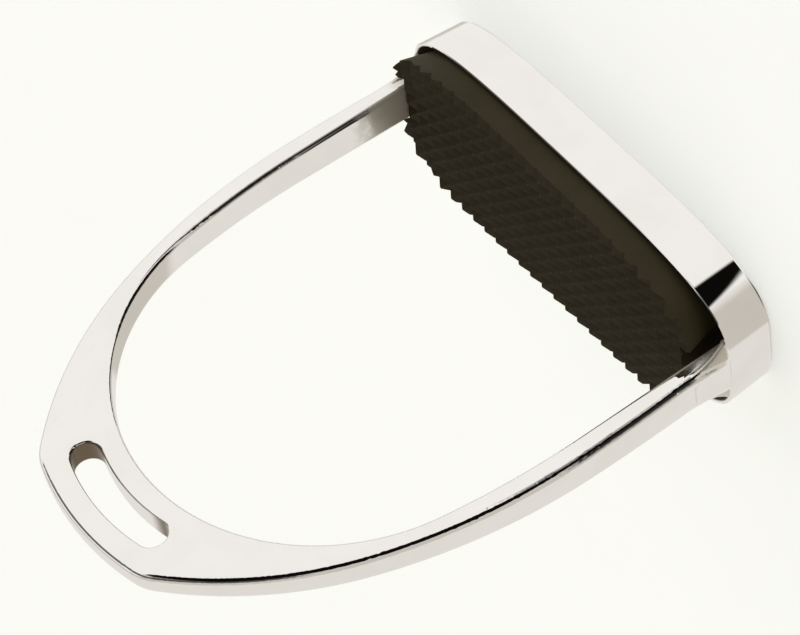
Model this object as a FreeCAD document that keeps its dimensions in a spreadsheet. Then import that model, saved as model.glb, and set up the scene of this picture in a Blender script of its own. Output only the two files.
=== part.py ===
import FreeCAD, Part
import math
import os
import Sketcher

# Stirrup iron: a bow with a curved leather slot in its eye, standing in an oval tread ring.
# The ring holds a pierced floor, and a rubber tread pad pushes down into it.
# Frame: +Z up, X along the tread, Y through the iron, Z = 0 on the underside of the tread ring.

V = FreeCAD.Vector
doc = FreeCAD.newDocument("stirrup_iron")
os.makedirs("parts", exist_ok=True)

DIMENSIONS = [
    # tread ring
    ("ring_height", 13.75),
    ("rim_half_length", 65.3),
    ("rim_half_depth", 25.0),
    ("base_half_length", 64.5),
    ("base_half_depth", 24.2),
    ("rim_wall", 0.95),
    ("base_wall", 2.2),
    ("loop_power", 3.6),
    ("rim_ease", 0.22),
    ("base_ease", 0.9),
    # tread floor
    ("floor_bottom", 3.0),
    ("floor_thickness", 2.5),
    ("window_length", 23.0),
    ("window_depth", 13.0),
    ("window_pitch", 27.0),
    ("window_row", 11.0),
    ("window_corner", 3.0),
    ("windows_per_row", 4),
    # bow, front outline
    ("bow_height", 161.3),
    ("branch_inside", 59.5),
    ("branch_outside", 65.65),
    ("inner_arch_radius", 57.05),
    ("inner_arch_centre", 83.4),
    ("inner_flank_radius", 220.0),
    ("outer_spring_line", 57.0),
    ("outer_shin_radius", 600.0),
    ("outer_flank_radius", 160.75),
    ("outer_flank_end", 112.0),
    ("outer_shoulder_radius", 105.8),
    ("eye_top_radius", 79.0),
    ("eye_corner_radius", 14.0),
    # bow, side outline and edges
    ("branch_foot_depth", 12.5),
    ("eye_top_depth", 6.9),
    ("outer_edge_round", 2.1),
    ("inner_edge_round", 1.4),
    # foot of each branch
    ("foot_upright_top", 18.2),
    ("foot_flare_top", 27.0),
    ("foot_flare_pull", 3.2),
    ("seat_overlap", 0.06),
    ("foot_spread_middle", 63.3),
    ("foot_spread_width", 4.2),
    ("foot_spread_height", 10.5),
    ("foot_spread_core", 5.4),
    ("foot_spread_reach", 5.9),
    ("foot_spread_fade", 4.0),
    ("foot_spread_levels", 5),
    # leather slot
    ("slot_arc_radius", 58.0),
    ("slot_middle_height", 150.65),
    ("slot_width", 8.0),
    ("slot_length", 37.9),
    ("slot_edge_round", 0.8),
    # tread pad
    ("pad_gap", 0.35),
    ("pad_side_gap", 0.5),
    ("pad_shift", 1.6),
    ("pad_power", 3.9),
    ("pad_low_half_length", 58.6),
    ("pad_waist_half_length", 59.3),
    ("pad_top_half_length", 61.6),
    ("pad_top_half_depth", 24.9),
    ("pad_top", 22.3),
    ("stud_pitch", 5.0),
    ("stud_height", 1.7),
    ("stud_flat", 0.5),
    ("stud_columns", 27),
    ("stud_rows", 11),
    ("notch_half_depth", 8.7),
    ("lug_gap", 0.6),
    ("lug_corner", 2.4),
    ("lug_bottom", 1.4),
]

sheet = doc.addObject("Spreadsheet::Sheet", "dims")
size = {}
for row, (name, value) in enumerate(DIMENSIONS, start=1):
    sheet.set("A%d" % row, name)
    sheet.set("B%d" % row, str(value))
    sheet.setAlias("B%d" % row, name)
    size[name] = value
doc.recompute()


# ---------------------------------------------------------------- shared steps
def bind(thing, path, formula):
    """Drive one property from the sheet; names of sheet cells carry a leading @."""
    thing.setExpression(path, formula.replace("@", "dims."))


def new_body(name):
    body = doc.addObject("PartDesign::Body", name)
    body.Label = name
    return body


def origin_part(body, role):
    for feature in body.Origin.OriginFeatures:
        if feature.Role == role:
            return feature
    raise ValueError(role)


def sketch_on(body, name, role, height=None):
    """A sketch on one of the body's own origin planes, raised by a sheet formula if given."""
    sketch = body.newObject("Sketcher::SketchObject", name)
    sketch.AttachmentSupport = [(origin_part(body, role), "")]
    sketch.MapMode = "FlatFace"
    if height is not None:
        bind(sketch, ".AttachmentOffset.Base.z", height)
    doc.recompute()
    return sketch


def draw_chain(sketch, curves):
    """Add curves that meet end to end in a closed chain, and tie their ends together."""
    ids = [sketch.addGeometry(curve, False) for curve in curves]
    free = {this: [1, 2] for this in ids}
    for index, this in enumerate(ids):
        following = ids[(index + 1) % len(ids)]
        gap, a, b = min((sketch.getPoint(this, a).distanceToPoint(sketch.getPoint(following, b)), a, b)
                        for a in free[this] for b in free[following])
        free[this].remove(a)
        free[following].remove(b)
        sketch.addConstraint(Sketcher.Constraint("Coincident", this, a, following, b))
    doc.recompute()
    return ids


def polygon(points):
    corners = [V(x, y, 0) for x, y in points]
    return [Part.LineSegment(a, b) for a, b in zip(corners, corners[1:] + corners[:1])]


def arc_about(centre, start, end):
    """The shorter arc from start to end about a centre, all in the sketch plane."""
    radius = math.hypot(start[0] - centre[0], start[1] - centre[1])
    middle = V((start[0] + end[0]) / 2 - centre[0], (start[1] + end[1]) / 2 - centre[1], 0)
    middle.normalize()
    top = V(centre[0], centre[1], 0) + middle * radius
    return Part.Arc(V(start[0], start[1], 0), top, V(end[0], end[1], 0))


def loft(body, name, kind, lower, *upper):
    feature = body.newObject("PartDesign::" + kind, name)
    feature.Profile = lower
    feature.Sections = list(upper)
    feature.Ruled = True
    doc.recompute()
    return feature


def cut_through(body, name, sketch):
    feature = body.newObject("PartDesign::Pocket", name)
    feature.Profile = sketch
    feature.Type = "ThroughAll"
    feature.Midplane = True
    doc.recompute()
    return feature


def row_of(body, name, original, axis_role, length, count):
    feature = body.newObject("PartDesign::LinearPattern", name)
    feature.Originals = [original]
    feature.Direction = (origin_part(body, axis_role), [""])
    bind(feature, "Length", length)
    bind(feature, "Occurrences", count)
    body.Tip = feature
    doc.recompute()
    return feature


def round_edges(body, name, radius, test):
    base = body.Tip
    picked = ["Edge%d" % index for index, edge in enumerate(base.Shape.Edges, start=1) if test(edge)]
    feature = body.newObject("PartDesign::Fillet", name)
    feature.Base = (base, picked)
    bind(feature, "Radius", radius)
    doc.recompute()
    return feature


def middle_of(edge):
    return edge.valueAt((edge.FirstParameter + edge.LastParameter) / 2.0)


def round_cornered(sketch, half_length, half_depth, bend, centre_x, centre_y):
    """A rectangle with round corners. Each size is a pair: its number and its sheet formula."""
    given = (centre_x, centre_y, half_length, half_depth, bend)
    x0, y0, long_half, deep_half, radius = (pair[0] for pair in given)
    quarter = math.pi / 2.0
    corners = []
    for index, (side_x, side_y) in enumerate([(1, 1), (-1, 1), (-1, -1), (1, -1)]):
        centre = V(x0 + side_x * (long_half - radius), y0 + side_y * (deep_half - radius), 0)
        circle = Part.Circle(centre, V(0, 0, 1), radius)
        bend_arc = Part.ArcOfCircle(circle, index * quarter, (index + 1) * quarter)
        corners.append(sketch.addGeometry(bend_arc, False))
    sides = []
    for index in range(4):
        start = sketch.getPoint(corners[index], 2)
        end = sketch.getPoint(corners[(index + 1) % 4], 1)
        sides.append(sketch.addGeometry(Part.LineSegment(start, end), False))
    for index in range(4):
        sketch.addConstraint(Sketcher.Constraint("Tangent", corners[index], 2, sides[index], 1))
        sketch.addConstraint(Sketcher.Constraint("Tangent", sides[index], 2, corners[(index + 1) % 4], 1))
    sketch.addConstraint(Sketcher.Constraint("Horizontal", sides[0]))
    sketch.addConstraint(Sketcher.Constraint("Vertical", sides[1]))
    sketch.addConstraint(Sketcher.Constraint("Equal", corners[0], corners[1]))
    sketch.addConstraint(Sketcher.Constraint("Equal", corners[1], corners[2]))
    at = sketch.addConstraint(Sketcher.Constraint("Radius", corners[0], radius))
    bind(sketch, "Constraints[%d]" % at, bend[1])
    for kind, middle, half, corner, sign in (("DistanceX", centre_x, half_length, corners[0], 1),
                                             ("DistanceX", centre_x, half_length, corners[2], -1),
                                             ("DistanceY", centre_y, half_depth, corners[0], 1),
                                             ("DistanceY", centre_y, half_depth, corners[2], -1)):
        value = middle[0] + sign * (half[0] - radius)
        formula = "(%s) + (%d) * ((%s) - (%s))" % (middle[1], sign, half[1], bend[1])
        at = sketch.addConstraint(Sketcher.Constraint(kind, -1, 1, corner, 3, value))
        bind(sketch, "Constraints[%d]" % at, formula)
    doc.recompute()


# ---------------------------------------------------------------- oval outlines
def oval_point(half_length, half_depth, turn, power):
    """The point of a superellipse at a turn round it, counted from +X."""
    heading = math.atan2(half_depth * math.sin(turn), half_length * math.cos(turn))
    reach = (abs(math.cos(heading) / half_length) ** power
             + abs(math.sin(heading) / half_depth) ** power) ** (-1.0 / power)
    return V(reach * math.cos(heading), reach * math.sin(heading), 0)


def oval_sketch(body, name, half_length, half_depth, height,
                power=size["loop_power"], middle_x=0.0, count=40):
    """A closed smooth curve through points of a superellipse spread evenly round it."""
    middle = V(middle_x, 0, 0)
    turns = [2.0 * math.pi * step / count for step in range(count)]
    points = [middle + oval_point(half_length, half_depth, turn, power) for turn in turns]
    curve = Part.BSplineCurve()
    curve.interpolate(Points=points, PeriodicFlag=True)
    sketch = sketch_on(body, name, "XY_Plane", height)
    sketch.addGeometry(curve, False)
    doc.recompute()
    return sketch


def inside_ring(height, way):
    """Half-size of the ring's inner face at a height; way is "length" or "depth"."""
    share = height / size["ring_height"]
    rim = size["rim_half_" + way] - size["rim_wall"]
    base = size["base_half_" + way] - size["base_wall"]
    return base + (rim - base) * share


# ---------------------------------------------------------------- tread ring
def outside_ring(height, way):
    """Half-size of the ring's outer face at a height; way is "length" or "depth"."""
    share = height / size["ring_height"]
    return size["base_half_" + way] + (size["rim_half_" + way] - size["base_half_" + way]) * share


def ring_level(name, half_size, height, formula, inset):
    half_length = half_size(height, "length") - inset
    half_depth = half_size(height, "depth") - inset
    return oval_sketch(ring, name, half_length, half_depth, formula)


ring = new_body("tread_ring")
rim_z, rim_ease, base_ease = size["ring_height"], size["rim_ease"], size["base_ease"]
outside = [
    ring_level("ring_base_edge", outside_ring, 0.0, "0 mm", base_ease),
    ring_level("ring_base_bevel", outside_ring, base_ease / 3, "@base_ease / 3", base_ease / 3),
    ring_level("ring_base_side", outside_ring, base_ease, "@base_ease", 0.0),
    ring_level("ring_rim_side", outside_ring, rim_z - rim_ease, "@ring_height - @rim_ease", 0.0),
    ring_level("ring_rim_edge", outside_ring, rim_z, "@ring_height", rim_ease),
]
loft(ring, "ring_wall", "AdditiveLoft", *outside)
inside = [
    ring_level("ring_mouth_base", inside_ring, 0.0, "0 mm", 0.0),
    ring_level("ring_mouth_side", inside_ring, rim_z - rim_ease, "@ring_height - @rim_ease", 0.0),
    ring_level("ring_mouth_edge", inside_ring, rim_z, "@ring_height", -rim_ease),
]
loft(ring, "ring_mouth", "SubtractiveLoft", *inside)

# ---------------------------------------------------------------- tread floor
floor = new_body("tread_floor")
floor_top = size["floor_bottom"] + size["floor_thickness"]
lap = size["seat_overlap"]
underside = oval_sketch(floor, "floor_underside", inside_ring(size["floor_bottom"], "length") + lap,
                        inside_ring(size["floor_bottom"], "depth") + lap, "@floor_bottom")
upper_side = oval_sketch(floor, "floor_upper_side", inside_ring(floor_top, "length") + lap,
                         inside_ring(floor_top, "depth") + lap, "@floor_bottom + @floor_thickness")
loft(floor, "floor_plate", "AdditiveLoft", underside, upper_side)

row_span = "@window_pitch * (@windows_per_row - 1)"
first_x = (-size["window_pitch"] * (size["windows_per_row"] - 1) / 2, "-" + row_span + " / 2")


def row_y(side):
    return (side * size["window_row"], "(%d) * @window_row" % side)


for row_name, side in (("front", -1), ("back", 1)):
    window = sketch_on(floor, row_name + "_window", "XY_Plane", "@floor_bottom")
    round_cornered(window, (size["window_length"] / 2, "@window_length / 2"),
                   (size["window_depth"] / 2, "@window_depth / 2"),
                   (size["window_corner"], "@window_corner"), first_x, row_y(side))
    opening = cut_through(floor, row_name + "_window_cut", window)
    row_of(floor, row_name + "_window_row", opening, "X_Axis", row_span, "@windows_per_row")

# ---------------------------------------------------------------- bow
def outer_x(centre, radius, z):
    """X of the right-hand side of a circle at height z."""
    return centre[0] + math.sqrt(radius ** 2 - (z - centre[1]) ** 2)


def along(start, end, length):
    """The point a given length from start, towards end."""
    share = length / math.hypot(end[0] - start[0], end[1] - start[1])
    return (start[0] + (end[0] - start[0]) * share, start[1] + (end[1] - start[1]) * share)


def mirrored(point):
    return (-point[0], point[1])


# inside: the arch runs into a long flank arc, which runs into the straight branch
branch_in, branch_out = size["branch_inside"], size["branch_outside"]
arch_centre = (0.0, size["inner_arch_centre"])
flank_in_x = branch_in - size["inner_flank_radius"]
flank_in_rise = math.sqrt((size["inner_flank_radius"] - size["inner_arch_radius"]) ** 2 - flank_in_x ** 2)
flank_in_centre = (flank_in_x, arch_centre[1] - flank_in_rise)
arch_end = along(flank_in_centre, arch_centre, size["inner_flank_radius"])
branch_top = (branch_in, flank_in_centre[1])

# foot: it stands on the floor against the ring's inner face, and laps over the rim
foot_z = floor_top - lap
seat_z = rim_z - lap
foot_corner = (inside_ring(foot_z, "length") + lap, foot_z)
rim_inside = (inside_ring(seat_z, "length") + lap, seat_z)
rim_outside = (size["rim_half_length"] - lap, seat_z)
upright_top = (rim_outside[0], size["foot_upright_top"])

# outside: flare, shin, flank and shoulder arcs, the eye's corner and its top
spring = size["outer_spring_line"]
shin_centre = (branch_out - size["outer_shin_radius"], spring)
shin_foot = (outer_x(shin_centre, size["outer_shin_radius"], size["foot_flare_top"]),
             size["foot_flare_top"])
shin_slope = math.atan2(shin_foot[1] - shin_centre[1], shin_foot[0] - shin_centre[0])
flare_low = (upright_top[0], upright_top[1] + size["foot_flare_pull"])
flare_high = (shin_foot[0] + size["foot_flare_pull"] * math.sin(shin_slope),
              shin_foot[1] - size["foot_flare_pull"] * math.cos(shin_slope))
shin_top = (branch_out, spring)
flank_centre = (branch_out - size["outer_flank_radius"], spring)
flank_top = (outer_x(flank_centre, size["outer_flank_radius"], size["outer_flank_end"]),
             size["outer_flank_end"])
shoulder_centre = along(flank_top, flank_centre, size["outer_shoulder_radius"])
top_centre = (0.0, size["bow_height"] - size["eye_top_radius"])
# the corner arc touches the shoulder and top arcs from inside
reach_a = size["outer_shoulder_radius"] - size["eye_corner_radius"]
reach_b = size["eye_top_radius"] - size["eye_corner_radius"]
apart = math.hypot(top_centre[0] - shoulder_centre[0], top_centre[1] - shoulder_centre[1])
run = (reach_a ** 2 - reach_b ** 2 + apart ** 2) / (2 * apart)
off = math.sqrt(reach_a ** 2 - run ** 2)
way = ((top_centre[0] - shoulder_centre[0]) / apart, (top_centre[1] - shoulder_centre[1]) / apart)
corner_centre = (shoulder_centre[0] + way[0] * run - way[1] * off,
                 shoulder_centre[1] + way[1] * run + way[0] * off)
corner_low = along(shoulder_centre, corner_centre, size["outer_shoulder_radius"])
corner_high = along(top_centre, corner_centre, size["eye_top_radius"])


def flare_curve(points):
    curve = Part.BezierCurve()
    curve.setPoles([V(x, z, 0) for x, z in points])
    return curve.toBSpline()


def side_of_bow(flip):
    """The curves of one branch from the arch's end round to the start of the eye's top arc."""
    place = mirrored if flip else (lambda point: point)
    chain = [arc_about(place(flank_in_centre), place(arch_end), place(branch_top))]
    straight = [branch_top, (branch_in, foot_z), foot_corner, rim_inside, rim_outside, upright_top]
    for start, end in zip(straight, straight[1:]):
        start, end = place(start), place(end)
        chain.append(Part.LineSegment(V(start[0], start[1], 0), V(end[0], end[1], 0)))
    chain.append(flare_curve([place(point) for point in (upright_top, flare_low, flare_high, shin_foot)]))
    for centre, start, end in ((shin_centre, shin_foot, shin_top),
                               (flank_centre, shin_top, flank_top),
                               (shoulder_centre, flank_top, corner_low),
                               (corner_centre, corner_low, corner_high)):
        chain.append(arc_about(place(centre), place(start), place(end)))
    return chain


bow = new_body("bow")
front = sketch_on(bow, "bow_front_outline", "XZ_Plane")
right, left = side_of_bow(False), side_of_bow(True)
arch = arc_about(arch_centre, mirrored(arch_end), arch_end)
eye_top = arc_about(top_centre, corner_high, mirrored(corner_high))
draw_chain(front, [arch] + right + [eye_top] + left[::-1])
plate = bow.newObject("PartDesign::Pad", "bow_plate")
plate.Profile = front
plate.Midplane = True
bind(plate, "Length", "@branch_foot_depth")
doc.recompute()


def half_thickness(z):
    """Half the bow's depth at a height: full at the foot, thinner up to the top of the eye."""
    foot, top = size["branch_foot_depth"] / 2, size["eye_top_depth"] / 2
    return foot + (top - foot) * (z - foot_z) / (size["bow_height"] - foot_z)


side = sketch_on(bow, "bow_side_taper", "YZ_Plane")
spare = 10.0
high = size["bow_height"] + spare
for sign in (-1, 1):
    draw_chain(side, polygon([(sign * half_thickness(foot_z), foot_z), (sign * half_thickness(high), high),
                              (sign * (size["branch_foot_depth"] + spare), high),
                              (sign * (size["branch_foot_depth"] + spare), foot_z)]))
cut_through(bow, "bow_taper", side)

slot = sketch_on(bow, "leather_slot_outline", "XZ_Plane")
slot_centre = (0.0, size["slot_middle_height"] - size["slot_arc_radius"])
slot_half = size["slot_width"] / 2
slot_swing = math.asin((size["slot_length"] / 2 - slot_half) / size["slot_arc_radius"])


def on_slot(radius, swing):
    return (radius * math.sin(swing), slot_centre[1] + radius * math.cos(swing))


slot_low, slot_high = size["slot_arc_radius"] - slot_half, size["slot_arc_radius"] + slot_half


def slot_end(sign):
    tip = on_slot(size["slot_arc_radius"], sign * (slot_swing + slot_half / size["slot_arc_radius"]))
    low, high = on_slot(slot_low, sign * slot_swing), on_slot(slot_high, sign * slot_swing)
    return Part.Arc(V(low[0], low[1], 0), V(tip[0], tip[1], 0), V(high[0], high[1], 0))


draw_chain(slot, [arc_about(slot_centre, on_slot(slot_low, -slot_swing), on_slot(slot_low, slot_swing)),
                  slot_end(1),
                  arc_about(slot_centre, on_slot(slot_high, slot_swing), on_slot(slot_high, -slot_swing)),
                  slot_end(-1)])
cut_through(bow, "leather_slot", slot)


def on_bow_face(edge):
    """True for an edge that lies along the front or back face of the bow, above the rim."""
    point = middle_of(edge)
    return abs(abs(point.y) - half_thickness(point.z)) < 0.02 and point.z > size["ring_height"]


def on_bow_outside(edge):
    point = middle_of(edge)
    if point.z < spring:
        return on_bow_face(edge) and abs(point.x) > (branch_in + branch_out) / 2
    across, up = point.x / branch_out, (point.z - spring) / (size["bow_height"] - spring)
    return on_bow_face(edge) and across ** 2 + up ** 2 > 0.95


def on_bow_inside(edge):
    point = middle_of(edge)
    radius = math.hypot(point.x, point.z - arch_centre[1])
    if point.z < spring:
        return on_bow_face(edge) and abs(point.x) < (branch_in + branch_out) / 2
    return on_bow_face(edge) and radius < size["inner_arch_radius"] + 3 and not on_bow_outside(edge)


def on_slot_face(edge):
    return on_bow_face(edge) and not on_bow_inside(edge) and not on_bow_outside(edge)


round_edges(bow, "outer_edge_rounding", "@outer_edge_round", on_bow_outside)
round_edges(bow, "inner_edge_rounding", "@inner_edge_round", on_bow_inside)
round_edges(bow, "slot_edge_rounding", "@slot_edge_round", on_slot_face)

# the foot spreads along the rim, in front of the branch and behind it, less and less as it rises
spread_levels = size["foot_spread_levels"]
crowding = 1.5
for sign, side_name in ((1, "right"), (-1, "left")):
    levels = []
    for index in range(spread_levels):
        rise = size["foot_spread_height"] * (index / (spread_levels - 1)) ** crowding
        reach = size["foot_spread_reach"] * math.exp(-rise / size["foot_spread_fade"])
        height = "@ring_height - @seat_overlap + %s" % round(rise, 4)
        level_name = "%s_foot_spread_%d" % (side_name, index)
        levels.append(oval_sketch(bow, level_name, size["foot_spread_width"] / 2,
                                  size["foot_spread_core"] + reach, height,
                                  power=2.0, middle_x=sign * size["foot_spread_middle"], count=20))
    loft(bow, side_name + "_foot_spread", "AdditiveLoft", *levels)

# ---------------------------------------------------------------- tread pad
pad = new_body("tread_pad")
pad_bottom = floor_top + size["pad_gap"]
pad_top = size["pad_top"]


def pad_level(name, half_length, half_depth, formula):
    return oval_sketch(pad, name, half_length, half_depth, formula, size["pad_power"], size["pad_shift"])


pad_low = pad_level("pad_underside", size["pad_low_half_length"],
                    inside_ring(pad_bottom, "depth") - size["pad_side_gap"],
                    "@floor_bottom + @floor_thickness + @pad_gap")
pad_waist = pad_level("pad_at_rim", size["pad_waist_half_length"],
                      inside_ring(size["ring_height"], "depth") - size["pad_side_gap"], "@ring_height")
pad_high = pad_level("pad_upper_side", size["pad_top_half_length"], size["pad_top_half_depth"], "@pad_top")
loft(pad, "pad_block", "AdditiveLoft", pad_low, pad_waist, pad_high)

notch = sketch_on(pad, "branch_notches", "XY_Plane")
notch_x = branch_in - size["pad_gap"] - size["pad_shift"]
notch_y = size["notch_half_depth"]
beyond = size["rim_half_length"] + spare
for sign in (-1, 1):
    inner_end = size["pad_shift"] + sign * notch_x
    outer_end = sign * beyond
    draw_chain(notch, polygon([(inner_end, -notch_y), (outer_end, -notch_y),
                               (outer_end, notch_y), (inner_end, notch_y)]))
cut_through(pad, "branch_notch_cut", notch)

half_groove = (size["stud_pitch"] - size["stud_flat"]) / 2
root = pad_top - size["stud_height"]
clear = pad_top + 1
for name, role, axis, count in (("cross", "XZ_Plane", "X_Axis", "stud_columns"),
                                ("long", "YZ_Plane", "Y_Axis", "stud_rows")):
    first = -size["stud_pitch"] * (size[count] - 1) / 2
    groove = sketch_on(pad, name + "_groove_section", role)
    draw_chain(groove, polygon([(first - half_groove, pad_top), (first, root), (first + half_groove, pad_top),
                                (first + half_groove, clear), (first - half_groove, clear)]))
    groove_cut = cut_through(pad, name + "_groove", groove)
    row_of(pad, name + "_groove_row", groove_cut, axis, "@stud_pitch * (@%s - 1)" % count, "@" + count)

lug_length = (size["window_length"] / 2 - size["lug_gap"], "@window_length / 2 - @lug_gap")
lug_depth = (size["window_depth"] / 2 - size["lug_gap"], "@window_depth / 2 - @lug_gap")
for row_name, side_sign in (("front", -1), ("back", 1)):
    lug = sketch_on(pad, row_name + "_lug_outline", "XY_Plane", "@lug_bottom")
    lug_bend = (size["lug_corner"], "@lug_corner")
    round_cornered(lug, lug_length, lug_depth, lug_bend, first_x, row_y(side_sign))
    block = pad.newObject("PartDesign::Pad", row_name + "_lug")
    block.Profile = lug
    bind(block, "Length", "@floor_bottom + @floor_thickness + @pad_gap - @lug_bottom + @pad_gap")
    doc.recompute()
    row_of(pad, row_name + "_lug_row", block, "X_Axis", row_span, "@windows_per_row")

# ---------------------------------------------------------------- check and export
doc.recompute()
for thing in doc.Objects:
    for state in thing.State:
        if state in ("Invalid", "Error"):
            raise RuntimeError("%s is %s" % (thing.Name, state))
for body in (ring, floor, bow, pad):
    shape = body.Shape
    if shape.isNull() or not shape.isValid():
        raise RuntimeError("%s has no valid shape" % body.Label)
    if len(shape.Solids) != 1:
        raise RuntimeError("%s has %d solids" % (body.Label, len(shape.Solids)))
    shape.exportStep("parts/%s.step" % body.Label)
    box = shape.BoundBox
    print("%-12s %8.0f mm3  x %.2f..%.2f  y %.2f..%.2f  z %.2f..%.2f" % (
        body.Label, shape.Volume, box.XMin, box.XMax, box.YMin, box.YMax, box.ZMin, box.ZMax))
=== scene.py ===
"""A polished steel stirrup iron with a rubber tread pad, on a pale studio floor."""

import math

import bpy
from mathutils import Matrix, Vector


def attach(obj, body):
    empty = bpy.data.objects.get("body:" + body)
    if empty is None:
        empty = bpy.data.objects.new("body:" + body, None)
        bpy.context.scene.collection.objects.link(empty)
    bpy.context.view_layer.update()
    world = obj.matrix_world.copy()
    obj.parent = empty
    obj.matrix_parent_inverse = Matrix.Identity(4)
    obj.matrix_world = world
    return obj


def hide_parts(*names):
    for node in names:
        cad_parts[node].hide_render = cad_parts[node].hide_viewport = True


MM = 0.001

# the leather slot: the arc along its middle, and how far its walls lie from that arc
SLOT_ARC_RADIUS = 58.0 * MM
SLOT_ARC_CENTRE = 92.65 * MM
SLOT_WALL_FROM, SLOT_WALL_TO = 4.8 * MM, 4.4 * MM
SLOT_END_FROM, SLOT_END_TO = 20.0 * MM, 19.2 * MM
SLOT_SKIN_FROM, SLOT_SKIN_TO = 9.0 * MM, 14.0 * MM

# the painted brown reflection of the rubber pad on the metal near the tread: where it fades out going
# up, and across the foot
PAD_REFLECTION_TOP, PAD_REFLECTION_FULL = 46.0 * MM, 34.0 * MM
PAD_REFLECTION_WAVE = 12.0 * MM
FOOT_FACE_FROM, FOOT_FACE_TO = 5.7 * MM, 6.1 * MM
FOOT_TOP, FOOT_FULL = 26.0 * MM, 19.0 * MM
RIM_FROM, RIM_TO = 13.9 * MM, 14.3 * MM

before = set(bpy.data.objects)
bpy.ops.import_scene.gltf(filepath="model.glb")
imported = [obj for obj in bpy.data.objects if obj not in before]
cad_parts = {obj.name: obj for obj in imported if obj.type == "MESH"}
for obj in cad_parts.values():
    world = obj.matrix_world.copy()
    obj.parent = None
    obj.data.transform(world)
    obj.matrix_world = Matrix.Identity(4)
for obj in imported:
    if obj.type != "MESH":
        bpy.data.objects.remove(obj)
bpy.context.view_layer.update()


# ---------------------------------------------------------------- camera

EYE = Vector((-462.7, -629.8, 298.3)) * MM
RIGHT = Vector((-0.5744, 0.1233, -0.8092))
DOWN = Vector((-0.5886, 0.6248, 0.5130))
AHEAD = Vector((0.5689, 0.7710, -0.2863))
SENSOR = 36.0
LENS = 148.25


def add_camera():
    """A long lens held over the front of the iron, rolled so that the eye is at the lower left."""
    lens = bpy.data.cameras.new("studio_camera")
    lens.sensor_width = SENSOR
    lens.lens = LENS
    lens.clip_start = 0.01
    lens.clip_end = 20.0
    camera = bpy.data.objects.new("studio_camera", lens)
    bpy.context.scene.collection.objects.link(camera)
    place = Matrix.Identity(4)
    for row in range(3):
        place[row][0] = RIGHT[row]
        place[row][1] = -DOWN[row]
        place[row][2] = -AHEAD[row]
        place[row][3] = EYE[row]
    camera.matrix_world = place
    bpy.context.scene.camera = camera


add_camera()


# ---------------------------------------------------------------- node helpers


class Nodes:
    """Short calls for adding and wiring nodes in one tree."""

    def __init__(self, tree):
        self.tree = tree

    def add(self, kind, **settings):
        node = self.tree.nodes.new(kind)
        for name, value in settings.items():
            setattr(node, name, value)
        return node

    def set(self, socket, value):
        if isinstance(value, bpy.types.NodeSocket):
            self.tree.links.new(value, socket)
        elif value is not None:
            socket.default_value = value

    def math(self, operation, first, second=None, third=None, clamp=False):
        node = self.add("ShaderNodeMath", operation=operation, use_clamp=clamp)
        self.set(node.inputs[0], first)
        self.set(node.inputs[1], second)
        self.set(node.inputs[2], third)
        return node.outputs[0]

    def dot(self, vector, direction):
        node = self.add("ShaderNodeVectorMath", operation="DOT_PRODUCT")
        self.set(node.inputs[0], vector)
        self.set(node.inputs[1], direction)
        return node.outputs["Value"]

    def spread(self, value, start, end, low=0.0, high=1.0):
        """A smooth step of value from low at start to high at end."""
        node = self.add("ShaderNodeMapRange", interpolation_type="SMOOTHSTEP")
        self.set(node.inputs["Value"], value)
        self.set(node.inputs["From Min"], start)
        self.set(node.inputs["From Max"], end)
        self.set(node.inputs["To Min"], low)
        self.set(node.inputs["To Max"], high)
        return node.outputs["Result"]

    def blend(self, share, first, second):
        """A mix of two colours, all second where share is 1."""
        node = self.add("ShaderNodeMix", data_type="RGBA")
        self.set(node.inputs[0], share)
        self.set(node.inputs[6], first)
        self.set(node.inputs[7], second)
        return node.outputs[2]

    def noise(self, vector, scale, detail=2.0, roughness=0.5, distortion=0.0):
        node = self.add("ShaderNodeTexNoise")
        self.set(node.inputs["Vector"], vector)
        self.set(node.inputs["Scale"], scale)
        self.set(node.inputs["Detail"], detail)
        self.set(node.inputs["Roughness"], roughness)
        self.set(node.inputs["Distortion"], distortion)
        return node.outputs["Fac"]


# ---------------------------------------------------------------- studio

TABLE = (0.62, 0.59, 0.535, 1.0)
NEAR_TABLE = (0.82, 0.80, 0.76, 1.0)
SOFTBOX = (0.97, 0.95, 0.925, 1.0)
DARK_ROOM = (0.004, 0.0035, 0.003, 1.0)


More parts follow.
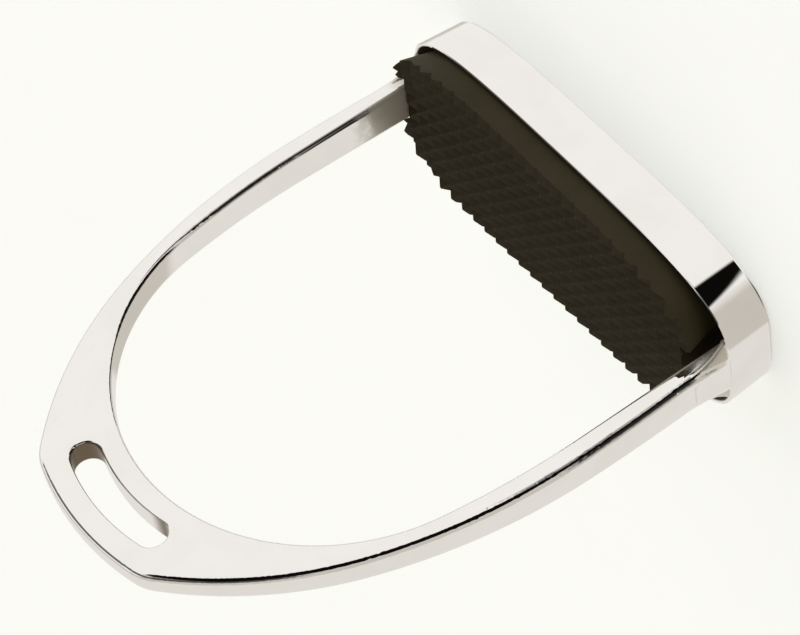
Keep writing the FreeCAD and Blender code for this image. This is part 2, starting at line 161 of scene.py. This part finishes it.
def dark_shapes(tent, way, front, side, down):
    """The gaps in the tent and the gear in it, all seen black in the polish."""
    # the gap round the camera: its back edge climbs towards the floor side
    edge = tent.math("MULTIPLY_ADD", tent.math("MAXIMUM", down, 0.0), 0.90, 0.355)
    gap = tent.spread(front, tent.math("SUBTRACT", edge, 0.03), tent.math("ADD", edge, 0.01))
    gap = tent.math("MULTIPLY", gap, tent.spread(front, 0.925, 0.895))
    gap = tent.math("MULTIPLY", gap, tent.spread(side, 0.01, 0.05))
    gap = tent.math("MULTIPLY", gap, tent.spread(down, -0.92, -0.75))

    # a narrow fold in the cloth beside it
    fold = tent.math("MULTIPLY", tent.spread(down, 0.20, 0.30), tent.spread(down, 0.447, 0.417))
    fold = tent.math("MULTIPLY", fold, tent.spread(side, 0.2, 0.4))
    fold = tent.math("MULTIPLY", fold, tent.spread(front, -0.45, 0.40, 0.0, 0.97))

    # a dark stand lower down
    stand = tent.math("MULTIPLY", tent.spread(down, 0.53, 0.58), tent.spread(side, 0.12, 0.22))
    stand = tent.math("MULTIPLY", stand, tent.spread(front, -0.25, 0.0))
    stand = tent.math("MULTIPLY", stand, tent.spread(front, 0.72, 0.60))

    # a boom that leans over the top
    lean = tent.dot(way, (0.0, -0.65, 0.76))
    off_boom = tent.math("ABSOLUTE", tent.math("SUBTRACT", lean, 0.43))
    boom = tent.math("MULTIPLY", tent.spread(off_boom, 0.10, 0.04), tent.spread(side, -0.3, 0.2))
    boom = tent.math("MULTIPLY", boom, tent.spread(front, 0.85, 0.95, 0.0, 0.85))

    # the open seam across the roof of the tent
    off_seam = tent.math("ABSOLUTE", tent.math("SUBTRACT", front, 0.22))
    overhead = tent.spread(down, -0.5, -0.62, 0.0, 0.85)
    seam = tent.math("MULTIPLY", tent.spread(off_seam, 0.24, 0.16), overhead)

    for dark in (fold, stand, boom, seam):
        gap = tent.math("MAXIMUM", gap, dark)
    return gap


def light_studio():
    """A white light tent over the front of the iron, with the dark gap that the camera looks through."""
    world = bpy.data.worlds.new("light_tent")
    bpy.context.scene.world = world
    world.use_nodes = True
    world.node_tree.nodes.clear()
    tent = Nodes(world.node_tree)
    way = tent.add("ShaderNodeTexCoord").outputs["Generated"]
    front = tent.dot(way, (0.0, -1.0, 0.0))
    side = tent.dot(way, (-1.0, 0.0, 0.0))
    down = tent.dot(way, (0.0, 0.0, -1.0))

    # white cloth over the front, bare table behind, and the lit edge of the table lower down
    cloth_from = tent.spread(side, -0.1, 0.4, -0.35, 0.62)
    cloth_to = tent.math("ADD", cloth_from, 0.22)
    paper = tent.blend(tent.spread(front, cloth_from, cloth_to), TABLE, SOFTBOX)
    low = tent.math("MULTIPLY", tent.spread(front, -0.54, -0.62), tent.spread(down, 0.56, 0.5))
    paper = tent.blend(low, paper, NEAR_TABLE)

    seen = tent.blend(dark_shapes(tent, way, front, side, down), paper, DARK_ROOM)
    glow = tent.add("ShaderNodeBackground")
    tent.set(glow.inputs["Color"], seen)
    glow.inputs["Strength"].default_value = 1.0
    end = tent.add("ShaderNodeOutputWorld")
    tent.set(end.inputs["Surface"], glow.outputs[0])


def new_material(name):
    """A material with an empty tree, its Principled shader wired to the output."""
    material = bpy.data.materials.new(name)
    material.use_nodes = True
    tree = material.node_tree
    tree.nodes.clear()
    make = Nodes(tree)
    shader = make.add("ShaderNodeBsdfPrincipled")
    end = make.add("ShaderNodeOutputMaterial")
    make.set(end.inputs["Surface"], shader.outputs[0])
    return material, make, shader


FLOOR_WIDTH = 12.0


def add_floor():
    """A wide pale floor that the polished steel doesn't mirror."""
    bpy.ops.object.select_all(action="DESELECT")
    bpy.ops.mesh.primitive_grid_add(x_subdivisions=8, y_subdivisions=8, size=FLOOR_WIDTH)
    floor = bpy.context.active_object
    floor.name = "studio_floor"
    material, make, shader = new_material("pale_floor")
    here = make.add("ShaderNodeTexCoord").outputs["Object"]
    grain = make.noise(here, 40.0, 4.0)
    pale = make.blend(grain, (0.86, 0.87, 0.85, 1.0), (0.90, 0.91, 0.89, 1.0))
    make.set(shader.inputs["Base Color"], pale)
    shader.inputs["Roughness"].default_value = 0.9
    shader.inputs["Specular IOR Level"].default_value = 0.1
    shader.inputs["Emission Color"].default_value = (0.97, 1.0, 0.95, 1.0)
    shader.inputs["Emission Strength"].default_value = 0.47
    floor.data.materials.append(material)
    floor.visible_glossy = False


light_studio()
add_floor()


# ---------------------------------------------------------------- finishes


def polish_marks_group():
    """Hairlines left by the buffing wheel, and the soft smears of handling."""
    group = bpy.data.node_groups.new("polish_marks", "ShaderNodeTree")
    face = group.interface
    for name, kind, way in (
        ("Hairline Scale", "NodeSocketFloat", "INPUT"),
        ("Smear Scale", "NodeSocketFloat", "INPUT"),
        ("Hairlines", "NodeSocketFloat", "OUTPUT"),
        ("Smears", "NodeSocketFloat", "OUTPUT"),
    ):
        face.new_socket(name=name, in_out=way, socket_type=kind)
    make = Nodes(group)
    given = make.add("NodeGroupInput")
    result = make.add("NodeGroupOutput")
    here = make.add("ShaderNodeTexCoord").outputs["Object"]
    lines = []
    for turn, stretch in ((0.35, (1.0, 1.0, 0.04)), (1.1, (0.05, 1.0, 1.0))):
        mapped = make.add("ShaderNodeMapping")
        make.set(mapped.inputs["Vector"], here)
        mapped.inputs["Rotation"].default_value = (turn, turn * 0.5, turn)
        mapped.inputs["Scale"].default_value = stretch
        lines.append(make.noise(mapped.outputs[0], given.outputs["Hairline Scale"], 3.0, 0.6, 0.3))
    crossed = make.math("MAXIMUM", lines[0], lines[1])
    make.set(result.inputs["Hairlines"], make.spread(crossed, 0.60, 0.74))
    make.set(
        result.inputs["Smears"],
        make.spread(make.noise(here, given.outputs["Smear Scale"], 4.0, 0.6, 0.6), 0.35, 0.7),
    )
    return group


def dust_group():
    """Pale dust that settles on surfaces facing up and stays in the dips of the noise."""
    group = bpy.data.node_groups.new("settled_dust", "ShaderNodeTree")
    face = group.interface
    for name, kind, way in (
        ("Scale", "NodeSocketFloat", "INPUT"),
        ("Amount", "NodeSocketFloat", "OUTPUT"),
    ):
        face.new_socket(name=name, in_out=way, socket_type=kind)
    make = Nodes(group)
    given = make.add("NodeGroupInput")
    result = make.add("NodeGroupOutput")
    here = make.add("ShaderNodeTexCoord").outputs["Object"]
    facing = make.add("ShaderNodeNewGeometry").outputs["Normal"]
    upward = make.spread(make.dot(facing, (0.0, 0.0, 1.0)), 0.3, 1.0)
    patches = make.spread(make.noise(here, given.outputs["Scale"], 5.0, 0.65), 0.45, 0.75)
    make.set(result.inputs["Amount"], make.math("MULTIPLY", upward, patches))
    return group


POLISH_MARKS = polish_marks_group()
SETTLED_DUST = dust_group()


def painted_pad_reflection(make, here, facing):
    """How far the metal near the tread is dulled and painted brown, a painted reflection of the rubber
    pad low on the inner faces and on the foot faces.
    """
    height = make.dot(here, (0.0, 0.0, 1.0))
    across = make.math("ABSOLUTE", make.dot(here, (0.0, 1.0, 0.0)))
    wavy = make.math("MULTIPLY_ADD", make.noise(here, 200.0, 3.0, 0.6), PAD_REFLECTION_WAVE, height)
    low_down = make.spread(wavy, PAD_REFLECTION_TOP, PAD_REFLECTION_FULL)
    facing_in = make.spread(make.dot(facing, here), -2.0 * MM, -9.0 * MM)
    inner_faces = make.math("MULTIPLY", low_down, facing_in)
    front_and_back = make.spread(across, FOOT_FACE_FROM, FOOT_FACE_TO)
    foot = make.math("MULTIPLY", front_and_back, make.spread(height, FOOT_TOP, FOOT_FULL))
    foot = make.math("MULTIPLY", foot, make.spread(height, RIM_FROM, RIM_TO, 0.0, 0.8))
    return make.math("MAXIMUM", inner_faces, foot)


def slot_skin(make, here, facing):
    """The brown skin in the ends of the leather slot, where the wheel can't reach."""
    height = make.dot(here, (0.0, 0.0, 1.0))
    along = make.math("ABSOLUTE", make.dot(here, (1.0, 0.0, 0.0)))
    rise = make.math("SUBTRACT", height, SLOT_ARC_CENTRE)
    squared = make.math("MULTIPLY_ADD", rise, rise, make.math("MULTIPLY", along, along))
    from_centre = make.math("POWER", squared, 0.5)
    off_middle = make.math("ABSOLUTE", make.math("SUBTRACT", from_centre, SLOT_ARC_RADIUS))
    edge_on = make.math("ABSOLUTE", make.dot(facing, (0.0, 1.0, 0.0)))
    skin = make.spread(off_middle, SLOT_WALL_FROM, SLOT_WALL_TO)
    skin = make.math("MULTIPLY", skin, make.spread(along, SLOT_END_FROM, SLOT_END_TO))
    skin = make.math("MULTIPLY", skin, make.spread(edge_on, 0.5, 0.3))
    return make.math("MULTIPLY", skin, make.spread(along, SLOT_SKIN_FROM, SLOT_SKIN_TO))


def polished_steel():
    """Mirror-polished stainless steel with faint buffing lines and a slow ripple."""
    material, make, shader = new_material("polished_stainless")
    marks = make.add("ShaderNodeGroup", node_tree=POLISH_MARKS)
    marks.inputs["Hairline Scale"].default_value = 900.0
    marks.inputs["Smear Scale"].default_value = 60.0
    coordinates = make.add("ShaderNodeTexCoord")
    here = coordinates.outputs["Object"]
    facing = coordinates.outputs["Normal"]
    # mask of the painted brown reflection of the rubber pad, low on the inner faces and on the foot
    # faces
    pad_reflection_paint = painted_pad_reflection(make, here, facing)
    skin = slot_skin(make, here, facing)

    colour = make.blend(marks.outputs["Smears"], (0.90, 0.885, 0.865, 1.0), (0.87, 0.855, 0.83, 1.0))
    # painted reflection: the metal near the tread is painted brown and made less metallic and rougher
    # where the pad's reflection falls
    colour = make.blend(pad_reflection_paint, colour, (0.60, 0.55, 0.46, 1.0))
    make.set(shader.inputs["Base Color"], make.blend(skin, colour, (0.16, 0.12, 0.08, 1.0)))
    make.set(shader.inputs["Metallic"], make.math("MULTIPLY_ADD", pad_reflection_paint, -0.6, 1.0))

    haze = make.math("MULTIPLY_ADD", marks.outputs["Smears"], 0.015, 0.012)
    haze = make.math("MULTIPLY_ADD", marks.outputs["Hairlines"], 0.02, haze)
    haze = make.math("MULTIPLY_ADD", skin, 0.2, haze)
    make.set(shader.inputs["Roughness"], make.math("MULTIPLY_ADD", pad_reflection_paint, 0.34, haze))

    ripple = make.noise(here, 90.0, 2.0, 0.5)
    relief = make.math("MULTIPLY_ADD", marks.outputs["Hairlines"], -0.02, ripple)
    bump = make.add("ShaderNodeBump")
    bump.inputs["Strength"].default_value = 0.03
    bump.inputs["Distance"].default_value = 0.1 * MM
    make.set(bump.inputs["Height"], relief)
    make.set(shader.inputs["Normal"], bump.outputs[0])
    return material


def plain_steel():
    """Pressed stainless plate, left with its mill finish."""
    material, make, shader = new_material("plain_stainless_plate")
    marks = make.add("ShaderNodeGroup", node_tree=POLISH_MARKS)
    marks.inputs["Hairline Scale"].default_value = 500.0
    marks.inputs["Smear Scale"].default_value = 90.0
    make.set(
        shader.inputs["Base Color"],
        make.blend(marks.outputs["Smears"], (0.58, 0.56, 0.53, 1.0), (0.48, 0.46, 0.43, 1.0)),
    )
    shader.inputs["Metallic"].default_value = 1.0
    rough = make.math("MULTIPLY_ADD", marks.outputs["Smears"], 0.1, 0.24)
    rough = make.math("MULTIPLY_ADD", marks.outputs["Hairlines"], 0.1, rough)
    make.set(shader.inputs["Roughness"], rough)
    bump = make.add("ShaderNodeBump")
    bump.inputs["Strength"].default_value = 0.3
    bump.inputs["Distance"].default_value = 0.05 * MM
    make.set(bump.inputs["Height"], marks.outputs["Hairlines"])
    make.set(shader.inputs["Normal"], bump.outputs[0])
    return material


def tread_rubber():
    """Dark olive-brown moulded rubber with a fine grain."""
    material, make, shader = new_material("tread_rubber")
    here = make.add("ShaderNodeTexCoord").outputs["Object"]
    cloud = make.noise(here, 110.0, 3.0, 0.55)
    grain = make.noise(here, 2600.0, 3.0, 0.6)
    dust = make.add("ShaderNodeGroup", node_tree=SETTLED_DUST)
    dust.inputs["Scale"].default_value = 240.0
    rubber = make.blend(cloud, (0.045, 0.036, 0.016, 1.0), (0.035, 0.028, 0.013, 1.0))
    chalk = make.math("MULTIPLY", dust.outputs["Amount"], 0.05)
    make.set(shader.inputs["Base Color"], make.blend(chalk, rubber, (0.10, 0.09, 0.07, 1.0)))
    make.set(shader.inputs["Roughness"], make.math("MULTIPLY_ADD", cloud, 0.2, 0.5))
    shader.inputs["Specular IOR Level"].default_value = 0.12
    bump = make.add("ShaderNodeBump")
    bump.inputs["Strength"].default_value = 0.35
    bump.inputs["Distance"].default_value = 0.05 * MM
    make.set(bump.inputs["Height"], grain)
    make.set(shader.inputs["Normal"], bump.outputs[0])
    return material


# ---------------------------------------------------------------- pieces


def smooth_copy(node, body, material, round_angle):
    """A merged copy of a CAD node with its round stretches shaded smooth, standing for the node."""
    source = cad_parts[node]
    piece = bpy.data.objects.new(node + "_finished", source.data.copy())
    bpy.context.scene.collection.objects.link(piece)
    bpy.ops.object.select_all(action="DESELECT")
    piece.select_set(True)
    bpy.context.view_layer.objects.active = piece
    bpy.ops.mesh.customdata_custom_splitnormals_clear()
    bpy.ops.object.mode_set(mode="EDIT")
    bpy.ops.mesh.select_all(action="SELECT")
    bpy.ops.mesh.remove_doubles(threshold=1e-7)
    bpy.ops.object.mode_set(mode="OBJECT")
    bpy.ops.object.shade_smooth_by_angle(angle=round_angle)
    weigh = piece.modifiers.new("weighted_normals", "WEIGHTED_NORMAL")
    weigh.mode = "FACE_AREA"
    weigh.keep_sharp = True
    bpy.ops.object.modifier_apply(modifier=weigh.name)
    piece.data.materials.clear()
    piece.data.materials.append(material)
    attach(piece, body)
    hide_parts(node)
    return piece


mirror = polished_steel()
for metal_node in ("bow", "tread_ring"):
    smooth_copy(metal_node, "iron", mirror, math.radians(40))
smooth_copy("tread_pad", "pad", tread_rubber(), math.radians(25))

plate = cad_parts["tread_floor"]
plate.data.materials.clear()
plate.data.materials.append(plain_steel())

bpy.context.scene.view_settings.view_transform = "Standard"
